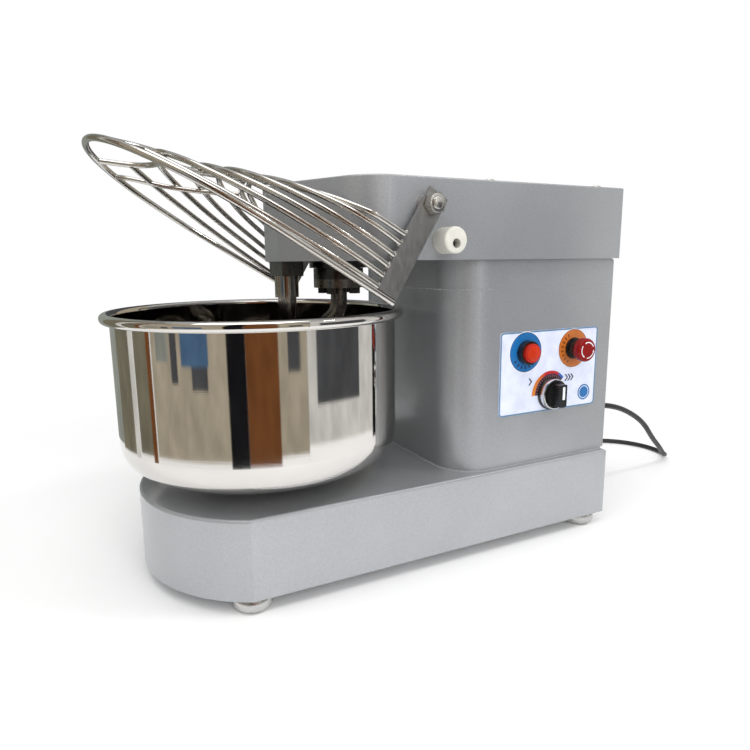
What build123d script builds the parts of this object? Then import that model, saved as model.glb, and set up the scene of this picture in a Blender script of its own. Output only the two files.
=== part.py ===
from build123d import *
import os
from math import sin, cos, tan, radians, pi, sqrt

# Bench-top spiral dough mixer, millimetres.
# Frame: origin on the floor at the centre of the footprint, +Z up, -Y to the bowl (front),
# +X to the side that carries the control panel.

# ---------------------------------------------------------------- driving dimensions
FOOT_HEIGHT = 13.0
FOOT_RADIUS = 17.5
SHEET = 3.0                     # thickness of the steel casings

BASE_HALF_WIDTH = 114.8
BASE_BOTTOM = FOOT_HEIGHT
BASE_TOP = 84.8
BASE_REAR = 244.5
BASE_CORNER_Y = -152.8          # where the flat sides meet the round front
BASE_FRONT = -224.4

COLUMN_HALF_WIDTH = 108.0
COLUMN_FRONT = 51.5
COLUMN_REAR = 242.5
COLUMN_CORNER = 38.0

HEAD_HALF_WIDTH = 114.6
HEAD_BOTTOM = 290.7
HEAD_TOP = 360.5
HEAD_REAR = 246.0
NOSE_Y = -90.5
NOSE_HALF_WIDTH = 19.0
HEAD_CORNER_Y = -43.0           # where the slanting front would meet the flat side
HEAD_CORNER = 42.0
LID_INSET = 4.0

BOWL_Y = -106.0                 # vertical axis of the bowl
BOWL_BOTTOM = 100.9
BOWL_RADIUS = 131.7
BOWL_SHEET = 1.5
BOWL_CORNER = 30.5
RIM_RADIUS = 140.0
RIM_BEAD = 4.5
RIM_TOP = 247.6

BREAKER_Y = -76.0
HOOK_Y = -21.0
COUNTER_Y = 94.0
MOTOR_Y = 189.0

# belt drives: effective radii of the pulleys
MOTOR_PULLEY = 14.0
COUNTER_BIG_PULLEY = 70.0
COUNTER_HOOK_PULLEY = 30.0
HOOK_PULLEY = 45.0
COUNTER_BOWL_PULLEY = 12.0
BOWL_PULLEY = 96.0
MOTOR_BELT_Z = 345.0
HOOK_BELT_Z = 325.0
BOWL_BELT_Z = 31.0
BELT_WIDTH = 9.0
BELT_THICKNESS = 3.0
BELT_GAP = 0.3

RUNNING = 0.06                  # radial clearance of every shaft that turns in a bore
GAP = 0.4                       # clearance between faces that pass each other

# guard: flat side plates on two pivots, carrying hoops of round wire
GUARD_ANGLE = 31.4              # angle of the guard above its closed position
PIVOT_Y = 11.0
PIVOT_Z = 337.0
PIVOT_ALONG = 9.0               # pivot's place on the side plate, along the guard ...
PIVOT_UP = 88.6                 # ... and above the plane of the outer ring
PLATE_REAR = -2.0
PLATE_FRONT = 18.0
PLATE_TOP = 99.2
PLATE_INNER_X = 122.5
PLATE_SHEET = 4.0
PIVOT_BOLT = 5.0
WIRE_X = PLATE_INNER_X + PLATE_SHEET / 2
RING_WIRE = 2.75
WIRE = 2.5
RING_LENGTH = 252.6
BUMPER_Y = 30.0
BUMPER_Z = 307.2
BUMPER_HOLE_Z = 304.5           # the bumpers are eccentric, to set how far the guard closes
BUMPER_RADIUS = 11.45
BUMPER_LENGTH = 20.0

# control panel on the +X side of the column
PANEL_Y = (99.8, 227.0)
PANEL_Z = (137.4, 221.0)
PANEL_SHEET = 1.2
POWER_YZ = (132.0, 200.3)
STOP_YZ = (194.0, 200.0)
SPEED_YZ = (165.5, 155.5)
PANEL_HOLE = 11.2
SWITCH_DEPTH = 45.0
POWER_TRAVEL = 3.0
STOP_TRAVEL = 4.0

# mains lead
CORD = 3.25                     # radius
FLOOR = 0.05
LEAD_X = 60.0
LEAD_Z = 119.0
RELIEF_END = 286.0
COIL_CENTRE = (-75.0, 300.0)
COIL_MEAN_RADIUS = 36.0

PANEL_FACE = COLUMN_HALF_WIDTH + PANEL_SHEET


def keep(piece, name):
    """Label a finished piece and write it as the node of that name."""
    piece.part.label = name
    os.makedirs("parts", exist_ok=True)
    export_step(piece.part, f"parts/{name}.step")
    return piece


def arc_radii(points, share=0.45):
    """Largest tangent arc at each inner corner that leaves room on both runs."""
    radii = []
    for before, corner, after in zip(points, points[1:], points[2:]):
        run_in, run_out = corner - before, after - corner
        shorter = min(run_in.length, run_out.length)
        half_turn = radians(run_in.get_angle(run_out)) / 2
        radii.append(share * shorter / tan(half_turn))
    return radii


def base_outline(inset):
    """Plan of the base: straight sides, one broad arc at the front."""
    side = BASE_HALF_WIDTH - inset
    with BuildLine() as outline:
        Polyline((-side, BASE_CORNER_Y), (-side, BASE_REAR - inset), (side, BASE_REAR - inset),
                 (side, BASE_CORNER_Y))
        ThreePointArc((side, BASE_CORNER_Y), (0, BASE_FRONT + inset), (-side, BASE_CORNER_Y))
    make_face(outline.line.edges())


def head_outline(inset):
    """Plan of the head: flat sides, rounded corners, slanting front and a flat nose."""
    side = HEAD_HALF_WIDTH - inset
    nose = NOSE_Y + inset
    corner_y = HEAD_CORNER_Y + inset * 0.6
    rear = HEAD_REAR - inset
    corner = HEAD_CORNER - inset
    with BuildLine() as outline:
        Polyline((-side, rear), (side, rear))
        FilletPolyline((side, rear), (side, corner_y), (NOSE_HALF_WIDTH, nose), radius=corner)
        Line((NOSE_HALF_WIDTH, nose), (-NOSE_HALF_WIDTH, nose))
        FilletPolyline((-NOSE_HALF_WIDTH, nose), (-side, corner_y), (-side, rear), radius=corner)
    make_face(outline.line.edges())


def column_outline(inset):
    """Plan of the column: a box with two large front corners."""
    side = COLUMN_HALF_WIDTH - inset
    front = COLUMN_FRONT + inset
    with BuildLine() as outline:
        FilletPolyline((-side, COLUMN_REAR), (-side, front), (side, front), (side, COLUMN_REAR),
                       radius=COLUMN_CORNER - inset)
        Line((side, COLUMN_REAR), (-side, COLUMN_REAR))
    make_face(outline.line.edges())


# ---------------------------------------------------------------- base
BEARING_BOSS = 31.0
DECK_BOTTOM = BASE_TOP - SHEET

with BuildPart() as base_housing:
    with BuildSketch(Plane.XY.offset(BASE_BOTTOM)):
        base_outline(0)
    extrude(amount=BASE_TOP - BASE_BOTTOM)
    fillet(base_housing.edges().group_by(Axis.Z)[-1], 2.5)
    with BuildSketch(Plane.XY.offset(BASE_BOTTOM)):
        base_outline(SHEET)
    extrude(amount=DECK_BOTTOM - BASE_BOTTOM, mode=Mode.SUBTRACT)
    with BuildSketch(Plane.XY.offset(DECK_BOTTOM)):
        with Locations((0, BOWL_Y)):
            Circle(BEARING_BOSS)
        with Locations((0, COUNTER_Y)):
            Circle(22)
        with Locations((0, 200)):
            Rectangle(60, 30)
    extrude(amount=SHEET, mode=Mode.SUBTRACT)
keep(base_housing, "base_housing")

FOOT_PLACES = {
    "foot_front_right": (97, -149), "foot_front_left": (-97, -149),
    "foot_rear_right": (97, 224), "foot_rear_left": (-97, 224),
}
FOOT_STUD = 4.0

with BuildPart() as base_bottom_plate:
    with BuildSketch(Plane.XY.offset(BASE_BOTTOM)):
        base_outline(SHEET)
        with Locations(*FOOT_PLACES.values()):
            Circle(FOOT_STUD, mode=Mode.SUBTRACT)
    extrude(amount=SHEET)
keep(base_bottom_plate, "base_bottom_plate")


def foot(place):
    """Turned levelling foot with its stud."""
    with BuildPart() as piece:
        with BuildSketch(Plane.XZ.offset(-place[1])):
            with BuildLine():
                x = place[0]
                Polyline((x, 0), (x + 13.5, 0), (x + 15, 1.5))
                ThreePointArc((x + 15, 1.5), (x + FOOT_RADIUS, 6), (x + 15.5, FOOT_HEIGHT))
                Polyline((x + 15.5, FOOT_HEIGHT), (x + FOOT_STUD, FOOT_HEIGHT),
                         (x + FOOT_STUD, 24), (x, 24), (x, 0))
            make_face()
        revolve(axis=Axis((place[0], place[1], 0), (0, 0, 1)))
    return piece


for foot_name, foot_place in FOOT_PLACES.items():
    keep(foot(foot_place), foot_name)

# ---------------------------------------------------------------- column and head
with BuildPart() as column_shell:
    with BuildSketch(Plane.XY.offset(BASE_TOP)):
        column_outline(0)
    extrude(amount=HEAD_BOTTOM - BASE_TOP)
    with BuildSketch(Plane.XY.offset(BASE_TOP)):
        column_outline(SHEET)
    extrude(amount=HEAD_BOTTOM - BASE_TOP, mode=Mode.SUBTRACT)
    with BuildSketch(Plane.YZ.offset(COLUMN_HALF_WIDTH - SHEET)):
        with Locations(POWER_YZ, STOP_YZ, SPEED_YZ):
            Circle(PANEL_HOLE)
    extrude(amount=SHEET, mode=Mode.SUBTRACT)
keep(column_shell, "column_shell")

LEAD_HOLE = 8.0
with BuildPart() as rear_cover:
    with BuildSketch(Plane.XZ.offset(-COLUMN_REAR)):
        with Locations((0, (BASE_TOP + HEAD_BOTTOM) / 2)):
            RectangleRounded(2 * COLUMN_HALF_WIDTH, HEAD_BOTTOM - BASE_TOP - 2 * GAP, 3)
        with Locations((LEAD_X, LEAD_Z)):
            Circle(LEAD_HOLE, mode=Mode.SUBTRACT)
        with Locations((-20, 215)):
            with GridLocations(70, 12, 2, 7):
                SlotOverall(56, 5, mode=Mode.SUBTRACT)
    extrude(amount=-(HEAD_REAR - COLUMN_REAR))
keep(rear_cover, "rear_cover")

HEAD_BEARING_HOLE = 29.0
MOTOR_PILOT = 26.0
COUNTER_HOLE = 24.0
LID_SEAT = HEAD_TOP - 1.6
LID_LEDGE = 14.0
LID_SCREW_PLACES = [(-98, 225), (98, 225), (-98, 90), (98, 90), (-70, -42), (70, -42)]
LID_SCREW = 2.5

with BuildPart() as head_shell:
    with BuildSketch(Plane.XY.offset(HEAD_BOTTOM)):
        head_outline(0)
    extrude(amount=HEAD_TOP - HEAD_BOTTOM)
    fillet(head_shell.edges().group_by(Axis.Z)[-1], 1.5)
    with BuildSketch(Plane.XY.offset(HEAD_BOTTOM + SHEET)):
        head_outline(SHEET)
    extrude(amount=LID_SEAT - 2 - HEAD_BOTTOM - SHEET, mode=Mode.SUBTRACT)
    with BuildSketch(Plane.XY.offset(LID_SEAT - 2)):
        head_outline(LID_LEDGE)
        with Locations(*LID_SCREW_PLACES):
            Circle(LID_SCREW)
    extrude(amount=2, mode=Mode.SUBTRACT)
    with BuildSketch(Plane.XY.offset(LID_SEAT)):
        head_outline(SHEET)
    extrude(amount=HEAD_TOP - LID_SEAT, mode=Mode.SUBTRACT)
    with BuildSketch(Plane.XY.offset(HEAD_BOTTOM)):
        with Locations((0, HOOK_Y)):
            Circle(HEAD_BEARING_HOLE)
        with Locations((0, COUNTER_Y)):
            Circle(COUNTER_HOLE)
        with Locations((0, MOTOR_Y)):
            Circle(MOTOR_PILOT)
    extrude(amount=SHEET, mode=Mode.SUBTRACT)
    with BuildSketch(Plane.YZ.offset(-HEAD_HALF_WIDTH)):
        with Locations((PIVOT_Y, PIVOT_Z)):
            Circle(5)
        with Locations((BUMPER_Y, BUMPER_HOLE_Z)):
            Circle(3)
    extrude(amount=2 * HEAD_HALF_WIDTH, mode=Mode.SUBTRACT)
keep(head_shell, "head_shell")

with BuildPart() as head_lid:
    with BuildSketch(Plane.XY.offset(LID_SEAT)):
        head_outline(LID_INSET)
        with Locations(*LID_SCREW_PLACES):
            Circle(LID_SCREW, mode=Mode.SUBTRACT)
    extrude(amount=2)
keep(head_lid, "head_lid")

LID_TOP = LID_SEAT + 2
BUMPER_SCREW = 3.0
BUMPER_SEAT = 8.0               # depth left under the screw's head
with BuildPart() as head_screws:
    with BuildSketch(Plane.XY.offset(LID_SEAT - 6)):
        with Locations(*LID_SCREW_PLACES):
            Circle(LID_SCREW)
    extrude(amount=8)
    with BuildSketch(Plane.XY.offset(LID_TOP)):
        with Locations(*LID_SCREW_PLACES):
            Circle(4.5)
    extrude(amount=2.4)
    fillet(head_screws.edges().group_by(Axis.Z)[-1], 1.2)
    for side in (1, -1):
        with BuildSketch(Plane.YZ.offset(side * (HEAD_HALF_WIDTH - 8))):
            with Locations((BUMPER_Y, BUMPER_HOLE_Z)):
                Circle(BUMPER_SCREW)
        extrude(amount=side * (8 + BUMPER_SEAT))
        with BuildSketch(Plane.YZ.offset(side * (HEAD_HALF_WIDTH + BUMPER_SEAT))):
            with Locations((BUMPER_Y, BUMPER_HOLE_Z)):
                Circle(BUMPER_SCREW + 1)
        extrude(amount=side * 4)
keep(head_screws, "head_screws")


# ---------------------------------------------------------------- bearings, belts, pulleys
def ring(x, y, bottom, top, inner, outer):
    """Plain ring added to the part being built."""
    with BuildSketch(Plane.XY.offset(bottom)) as profile:
        with Locations((x, y)):
            Circle(outer)
            Circle(inner, mode=Mode.SUBTRACT)
    extrude(profile.sketch, amount=top - bottom)


def disc(y, bottom, top, radius):
    """Plain disc on the machine's centre plane, added to the part being built."""
    with BuildSketch(Plane.XY.offset(bottom)) as profile:
        with Locations((0, y)):
            Circle(radius)
    extrude(profile.sketch, amount=top - bottom)


BOWL_SHAFT = 12.5
HOOK_SHAFT = 10.0
COUNTER_SHAFT = 8.5
MOTOR_SHAFT = 7.0
BOWL_BEARING = 23.5
HOOK_BEARING = 21.0
BOSS_TOP = BASE_TOP + 2.4
HUB_BOTTOM = BOSS_TOP + GAP
COLLAR_BOTTOM = HEAD_BOTTOM - 6.7

with BuildPart() as bowl_bearing_housing:
    ring(0, BOWL_Y, 43, BOSS_TOP, BOWL_BEARING, BEARING_BOSS)
    ring(0, BOWL_Y, DECK_BOTTOM - 5, DECK_BOTTOM, BOWL_BEARING, 46)
    ring(0, BOWL_Y, 58, 72, BOWL_BEARING - 3, BOWL_BEARING)
keep(bowl_bearing_housing, "bowl_bearing_housing")

with BuildPart() as bowl_bearings:
    ring(0, BOWL_Y, 46, 58, BOWL_SHAFT + RUNNING, BOWL_BEARING)
    ring(0, BOWL_Y, 72, 84, BOWL_SHAFT + RUNNING, BOWL_BEARING)
keep(bowl_bearings, "bowl_bearings")

with BuildPart() as hook_bearing_housing:
    ring(0, HOOK_Y, COLLAR_BOTTOM, 317, HOOK_BEARING, HEAD_BEARING_HOLE)
    ring(0, HOOK_Y, HEAD_BOTTOM + SHEET, 299.7, HOOK_BEARING, 42)
    ring(0, HOOK_Y, COLLAR_BOTTOM, COLLAR_BOTTOM + 2, HOOK_SHAFT + 1, HOOK_BEARING)
keep(hook_bearing_housing, "hook_bearing_housing")

with BuildPart() as hook_bearings:
    ring(0, HOOK_Y, 287, 299, HOOK_SHAFT + RUNNING, HOOK_BEARING)
    ring(0, HOOK_Y, 304, 316, HOOK_SHAFT + RUNNING, HOOK_BEARING)
keep(hook_bearings, "hook_bearings")

with BuildPart() as countershaft_bearings:
    ring(0, COUNTER_Y, 64, BASE_TOP + 2, COUNTER_SHAFT + RUNNING, 22)
    ring(0, COUNTER_Y, DECK_BOTTOM - 6, DECK_BOTTOM, COUNTER_SHAFT + RUNNING, 38)
    ring(0, COUNTER_Y, HEAD_BOTTOM, 312, COUNTER_SHAFT + RUNNING, COUNTER_HOLE)
    ring(0, COUNTER_Y, HEAD_BOTTOM + SHEET, 300, COUNTER_SHAFT + RUNNING, 38)
keep(countershaft_bearings, "countershaft_bearings")


def belt(y_a, radius_a, y_b, radius_b, middle):
    """Flat belt running clear round two pulleys."""
    inner, outer = BELT_GAP, BELT_GAP + BELT_THICKNESS
    with BuildPart() as piece:
        with BuildSketch(Plane.XY.offset(middle - BELT_WIDTH / 2)) as loop:
            with Locations((0, y_a)):
                Circle(radius_a + outer)
            with Locations((0, y_b)):
                Circle(radius_b + outer)
            make_hull()
            with BuildSketch(mode=Mode.SUBTRACT):
                with Locations((0, y_a)):
                    Circle(radius_a + inner)
                with Locations((0, y_b)):
                    Circle(radius_b + inner)
                make_hull()
        extrude(amount=BELT_WIDTH)
    return piece


keep(belt(MOTOR_Y, MOTOR_PULLEY, COUNTER_Y, COUNTER_BIG_PULLEY, MOTOR_BELT_Z), "motor_belt")
keep(belt(COUNTER_Y, COUNTER_HOOK_PULLEY, HOOK_Y, HOOK_PULLEY, HOOK_BELT_Z), "hook_belt")
keep(belt(COUNTER_Y, COUNTER_BOWL_PULLEY, BOWL_Y, BOWL_PULLEY, BOWL_BELT_Z), "bowl_belt")


def pulley(y, radius, bore, middle):
    """Flanged belt pulley; a large one has its web thinned from both sides."""
    half = BELT_WIDTH / 2 + GAP
    with BuildPart() as piece:
        disc(y, middle - half - 2, middle + half + 2, radius)
        disc(y, middle - half - 2, middle - half, radius + 2)
        disc(y, middle + half, middle + half + 2, radius + 2)
        if radius > 40:
            for bottom in (middle - half - 2, middle + 2.5):
                with BuildSketch(Plane.XY.offset(bottom)):
                    with Locations((0, y)):
                        Circle(radius - 6)
                        Circle(bore + 9, mode=Mode.SUBTRACT)
                extrude(amount=half - 0.5, mode=Mode.SUBTRACT)
        with BuildSketch(Plane.XY.offset(middle - half - 2)):
            with Locations((0, y)):
                Circle(bore)
        extrude(amount=2 * half + 4, mode=Mode.SUBTRACT)
    return piece


PULLEY_HALF = BELT_WIDTH / 2 + GAP + 2

# ---------------------------------------------------------------- motor and countershaft
MOTOR_RADIUS = 50.0
MOTOR_BOTTOM = 150.0
BRACKET_BOTTOM = HEAD_BOTTOM - 6

with BuildPart() as motor_bracket:
    with BuildSketch(Plane.XY.offset(BRACKET_BOTTOM)):
        with Locations((0, MOTOR_Y - 4)):
            RectangleRounded(130, 94, 8)
        with Locations((0, MOTOR_Y)):
            Circle(MOTOR_PILOT, mode=Mode.SUBTRACT)
    extrude(amount=6)
keep(motor_bracket, "motor_bracket")

with BuildPart() as motor_body:
    disc(MOTOR_Y, MOTOR_BOTTOM, BRACKET_BOTTOM, MOTOR_RADIUS)
    fillet(motor_body.edges().group_by(Axis.Z)[0], 6)
    disc(MOTOR_Y, BRACKET_BOTTOM, HEAD_BOTTOM, MOTOR_PILOT)
    with BuildSketch(Plane.XY.offset(MOTOR_BOTTOM + 12)):
        with Locations((0, MOTOR_Y)):
            Circle(MOTOR_SHAFT + RUNNING)
    extrude(amount=HEAD_BOTTOM - MOTOR_BOTTOM - 12, mode=Mode.SUBTRACT)
keep(motor_body, "motor_body")

with BuildPart() as motor_shaft:
    disc(MOTOR_Y, MOTOR_BOTTOM + 12 + GAP, MOTOR_BELT_Z + PULLEY_HALF + 1, MOTOR_SHAFT)
keep(motor_shaft, "motor_shaft")
keep(pulley(MOTOR_Y, MOTOR_PULLEY, MOTOR_SHAFT, MOTOR_BELT_Z), "motor_pulley")

with BuildPart() as countershaft:
    disc(COUNTER_Y, BOWL_BELT_Z - PULLEY_HALF, MOTOR_BELT_Z + PULLEY_HALF + 1, COUNTER_SHAFT)
    disc(COUNTER_Y, BOWL_BELT_Z - PULLEY_HALF, BOWL_BELT_Z + PULLEY_HALF, COUNTER_BOWL_PULLEY)
    disc(COUNTER_Y, BOWL_BELT_Z - PULLEY_HALF, BOWL_BELT_Z - PULLEY_HALF + 2, COUNTER_BOWL_PULLEY + 2)
    disc(COUNTER_Y, BOWL_BELT_Z + PULLEY_HALF - 2, BOWL_BELT_Z + PULLEY_HALF, COUNTER_BOWL_PULLEY + 2)
keep(countershaft, "countershaft")

with BuildPart() as countershaft_step_pulley:
    add(pulley(COUNTER_Y, COUNTER_BIG_PULLEY, COUNTER_SHAFT, MOTOR_BELT_Z).part)
    add(pulley(COUNTER_Y, COUNTER_HOOK_PULLEY, COUNTER_SHAFT, HOOK_BELT_Z).part)
    ring(0, COUNTER_Y, HOOK_BELT_Z + PULLEY_HALF, MOTOR_BELT_Z - PULLEY_HALF, COUNTER_SHAFT, 18)
keep(countershaft_step_pulley, "countershaft_step_pulley")

# ---------------------------------------------------------------- bowl
BEAD_CENTRE = (RIM_RADIUS - RIM_BEAD, RIM_TOP - RIM_BEAD)
INNER_RADIUS = BOWL_RADIUS - BOWL_SHEET
INNER_BOTTOM = BOWL_BOTTOM + BOWL_SHEET
DIAGONAL = 1 - sqrt(0.5)

with BuildPart() as bowl_shell:
    with BuildSketch(Plane.XZ.offset(-BOWL_Y)):
        with BuildLine():
            Line((0, BOWL_BOTTOM), (BOWL_RADIUS - BOWL_CORNER, BOWL_BOTTOM))
            ThreePointArc((BOWL_RADIUS - BOWL_CORNER, BOWL_BOTTOM),
                          (BOWL_RADIUS - DIAGONAL * BOWL_CORNER, BOWL_BOTTOM + DIAGONAL * BOWL_CORNER),
                          (BOWL_RADIUS, BOWL_BOTTOM + BOWL_CORNER))
            Polyline((BOWL_RADIUS, BOWL_BOTTOM + BOWL_CORNER), (BOWL_RADIUS, BEAD_CENTRE[1]),
                     (INNER_RADIUS, BEAD_CENTRE[1]), (INNER_RADIUS, BOWL_BOTTOM + BOWL_CORNER))
            ThreePointArc((INNER_RADIUS, BOWL_BOTTOM + BOWL_CORNER),
                          (INNER_RADIUS - DIAGONAL * (BOWL_CORNER - BOWL_SHEET),
                           INNER_BOTTOM + DIAGONAL * (BOWL_CORNER - BOWL_SHEET)),
                          (BOWL_RADIUS - BOWL_CORNER, INNER_BOTTOM))
            Polyline((BOWL_RADIUS - BOWL_CORNER, INNER_BOTTOM), (0, INNER_BOTTOM), (0, BOWL_BOTTOM))
        make_face()
        with Locations(BEAD_CENTRE):
            Circle(RIM_BEAD)
    revolve(axis=Axis((0, BOWL_Y, 0), (0, 0, 1)))
keep(bowl_shell, "bowl_shell")

with BuildPart() as bowl_hub:
    disc(BOWL_Y, HUB_BOTTOM, BOWL_BOTTOM, 26)
    disc(BOWL_Y, BOWL_BOTTOM - 5, BOWL_BOTTOM, 60)
    disc(BOWL_Y, BOWL_BELT_Z - PULLEY_HALF - 1, HUB_BOTTOM, BOWL_SHAFT)
keep(bowl_hub, "bowl_hub")
keep(pulley(BOWL_Y, BOWL_PULLEY, BOWL_SHAFT, BOWL_BELT_Z), "bowl_pulley")

# ---------------------------------------------------------------- dough breaker and hook
with BuildPart() as breaker_block:
    with BuildSketch(Plane.XY.offset(277)):
        with Locations((0, BREAKER_Y)):
            RectangleRounded(42, 21, 2)
            Circle(9, mode=Mode.SUBTRACT)
    extrude(amount=HEAD_BOTTOM - 277)
keep(breaker_block, "breaker_block")

with BuildPart() as breaker_bar:
    disc(BREAKER_Y, 110, HEAD_BOTTOM, 9)
    disc(BREAKER_Y, 256.6, 277, 11.5)
    fillet(breaker_bar.edges().group_by(Axis.Z)[0], 3)
keep(breaker_bar, "breaker_bar")

HOOK_FLANGE = 25.0
FLANGE_TOP = COLLAR_BOTTOM - GAP
FLANGE_JOINT = 273.0
HOOK_FLANGE_BOTTOM = 264.6
HOOK_ROD = 8.25
HOOK_BOLT = 3.0
HOOK_BOLT_CIRCLE = 17.0

with BuildPart() as hook_spindle:
    disc(HOOK_Y, FLANGE_JOINT, FLANGE_TOP, HOOK_FLANGE)
    disc(HOOK_Y, FLANGE_TOP, HOOK_BELT_Z + PULLEY_HALF + 1, HOOK_SHAFT)
    with BuildSketch(Plane.XY.offset(FLANGE_JOINT)):
        with Locations((0, HOOK_Y)):
            with PolarLocations(HOOK_BOLT_CIRCLE, 4, start_angle=45):
                Circle(HOOK_BOLT)
    extrude(amount=7, mode=Mode.SUBTRACT)
keep(hook_spindle, "hook_spindle")
keep(pulley(HOOK_Y, HOOK_PULLEY, HOOK_SHAFT, HOOK_BELT_Z), "hook_pulley")

# the hook's rod: straight down, then out into a spiral that tightens towards the bottom
SPIRAL_TOP = 226.0
SPIRAL_BOTTOM = 114.5
SPIRAL_TURNS = 1.3
SPIRAL_STEPS = 11
SPIRAL_START = 243.0
SPIRAL_WIDE = 30.0
SPIRAL_NARROW = 19.0


def spiral_point(step):
    """A point of the spiral, counted from its top."""
    share = step / SPIRAL_STEPS
    radius = (SPIRAL_WIDE + (SPIRAL_NARROW - SPIRAL_WIDE) * share ** 2) * min(1, 0.55 + 0.45 * step)
    turn = radians(SPIRAL_START + 360 * SPIRAL_TURNS * share)
    height = SPIRAL_TOP + (SPIRAL_BOTTOM - SPIRAL_TOP) * share
    return Vector(radius * cos(turn), HOOK_Y + radius * sin(turn), height)


spiral_points = [Vector(0, HOOK_Y, HOOK_FLANGE_BOTTOM), Vector(0, HOOK_Y, SPIRAL_TOP + 14)]
spiral_points += [spiral_point(step) for step in range(SPIRAL_STEPS + 1)]

with BuildPart() as spiral_hook:
    with BuildLine() as spiral:
        FilletPolyline(*spiral_points, radius=arc_radii(spiral_points))
    with BuildSketch(Plane(origin=spiral.line @ 0, z_dir=spiral.line % 0)):
        Circle(HOOK_ROD)
    sweep()
    fillet(spiral_hook.faces().sort_by(Axis.Z)[0].edges(), 3)
    disc(HOOK_Y, HOOK_FLANGE_BOTTOM, FLANGE_JOINT, HOOK_FLANGE)
    with BuildSketch(Plane.XY.offset(HOOK_FLANGE_BOTTOM)):
        with Locations((0, HOOK_Y)):
            with PolarLocations(HOOK_BOLT_CIRCLE, 4, start_angle=45):
                Circle(HOOK_BOLT)
    extrude(amount=FLANGE_JOINT - HOOK_FLANGE_BOTTOM, mode=Mode.SUBTRACT)
keep(spiral_hook, "spiral_hook")

with BuildPart() as hook_flange_bolts:
    with BuildSketch(Plane.XY.offset(HOOK_FLANGE_BOTTOM - 6)):
        with Locations((0, HOOK_Y)):
            with PolarLocations(HOOK_BOLT_CIRCLE, 4, start_angle=45):
                RegularPolygon(5.8, 6)
    extrude(amount=6)
    with BuildSketch(Plane.XY.offset(HOOK_FLANGE_BOTTOM)):
        with Locations((0, HOOK_Y)):
            with PolarLocations(HOOK_BOLT_CIRCLE, 4, start_angle=45):
                Circle(HOOK_BOLT)
    extrude(amount=FLANGE_JOINT + 7 - HOOK_FLANGE_BOTTOM)
keep(hook_flange_bolts, "hook_flange_bolts")

# ---------------------------------------------------------------- guard
TILT_SIN, TILT_COS = sin(radians(GUARD_ANGLE)), cos(radians(GUARD_ANGLE))
GUARD_Y = PIVOT_Y + PIVOT_ALONG * TILT_COS - PIVOT_UP * TILT_SIN
GUARD_Z = PIVOT_Z - PIVOT_ALONG * TILT_SIN - PIVOT_UP * TILT_COS


def on_guard(x, along, up):
    """A point given across, along and above the plane of the guard's outer ring."""
    return Vector(x, GUARD_Y - along * TILT_COS + up * TILT_SIN, GUARD_Z + along * TILT_SIN + up * TILT_COS)


def hoop_points(half_width, start, tip, straight, fullness, last=180.0, steps=12):
    """Points round the curved part of a hoop whose ends are at start and its crown at tip."""
    depth = 1 - straight
    points = []
    for step in range(steps + 1):
        angle = radians(last * step / steps)
        side = half_width * abs(cos(angle)) ** (2 / fullness) * (1 if cos(angle) >= 0 else -1)
        share = straight + depth * sin(angle) ** (2 / fullness)
        along = start[0] + (tip[0] - start[0]) * share
        up = start[1] + (tip[1] - start[1]) * share
        points.append(on_guard(side, along, up))
    return points


def hoop(radius, half_width, start, tip, straight, fullness, last=180.0):
    """Bent wire: straight legs and a rounded front; with last below 90 it stops half way."""
    points = hoop_points(half_width, start, tip, straight, fullness, last)
    leg = on_guard(0, tip[0] - start[0], tip[1] - start[1]) - on_guard(0, 0, 0)
    with BuildPart() as piece:
        with BuildLine() as path:
            Line(on_guard(half_width, *start), points[0])
            if last == 180:
                Spline(*points, tangents=(leg, -leg))
                Line(points[-1], on_guard(-half_width, *start))
            else:
                Spline(*points)
        with BuildSketch(Plane(origin=path.line @ 0, z_dir=path.line % 0)):
            Circle(radius)
        sweep()
        if last < 180:
            mirror(about=Plane.YZ)
    return piece


def side_plate(side):
    """Flat bar that carries the wires and turns on its pivot bolt."""
    face = Plane(origin=(side * PLATE_INNER_X, GUARD_Y, GUARD_Z), x_dir=(0, -TILT_COS, TILT_SIN),
                 z_dir=(-1, 0, 0))
    middle = (PLATE_REAR + PLATE_FRONT) / 2
    with BuildPart() as piece:
        with BuildSketch(face):
            with Locations((middle, (PLATE_TOP + RING_WIRE) / 2)):
                Rectangle(PLATE_FRONT - PLATE_REAR, PLATE_TOP - RING_WIRE)
            with Locations((PIVOT_ALONG, PIVOT_UP)):
                Circle(PIVOT_BOLT + RUNNING, mode=Mode.SUBTRACT)
        extrude(amount=-side * PLATE_SHEET)
    return piece


for plate_side, plate_name in ((1, "guard_plate_right"), (-1, "guard_plate_left")):
    keep(side_plate(plate_side), plate_name)

keep(hoop(RING_WIRE, WIRE_X, (PLATE_REAR, 0), (RING_LENGTH, 0), 0.43, 2.11), "guard_outer_ring")

# each inner wire: height of its ends on the plate, its crown, straight share and fullness
WIRES = {
    "guard_wire_3": (14.7, (205.0, 23.0), 0.05, 1.7),
    "guard_wire_4": (23.8, (171.2, 32.2), 0.06, 1.88),
    "guard_wire_5": (33.9, (150.5, 42.5), 0.02, 1.83),
    "guard_wire_6": (45.0, (128.1, 49.4), 0.13, 1.85),
    "guard_wire_7": (53.7, (122.9, 49.6), 0.26, 1.5),
}
keep(hoop(WIRE, WIRE_X, (PLATE_FRONT, 4.6), (244.0, 12.0), 0.05, 1.55, last=63), "guard_wire_2")
for wire_name, (end_up, crown, straight_share, fullness) in WIRES.items():
    keep(hoop(WIRE, WIRE_X, (PLATE_FRONT, end_up), crown, straight_share, fullness), wire_name)

# feed opening at the front: a bent rod from the ring to the third wire, and a rod across each side
FEED_ROD = [(55, 239.8, 0), (52, 228, 5.5), (46, 214, 12), (34, 203, 17.5), (17, 197, 20.5), (0, 195.5, 21.2)]
CROSS_ROD = [(81, 220.9, 0), (66, 204, 5.5), (60, 180, 14), (56.5, 150, 28), (52.5, 118, 45.4)]

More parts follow.
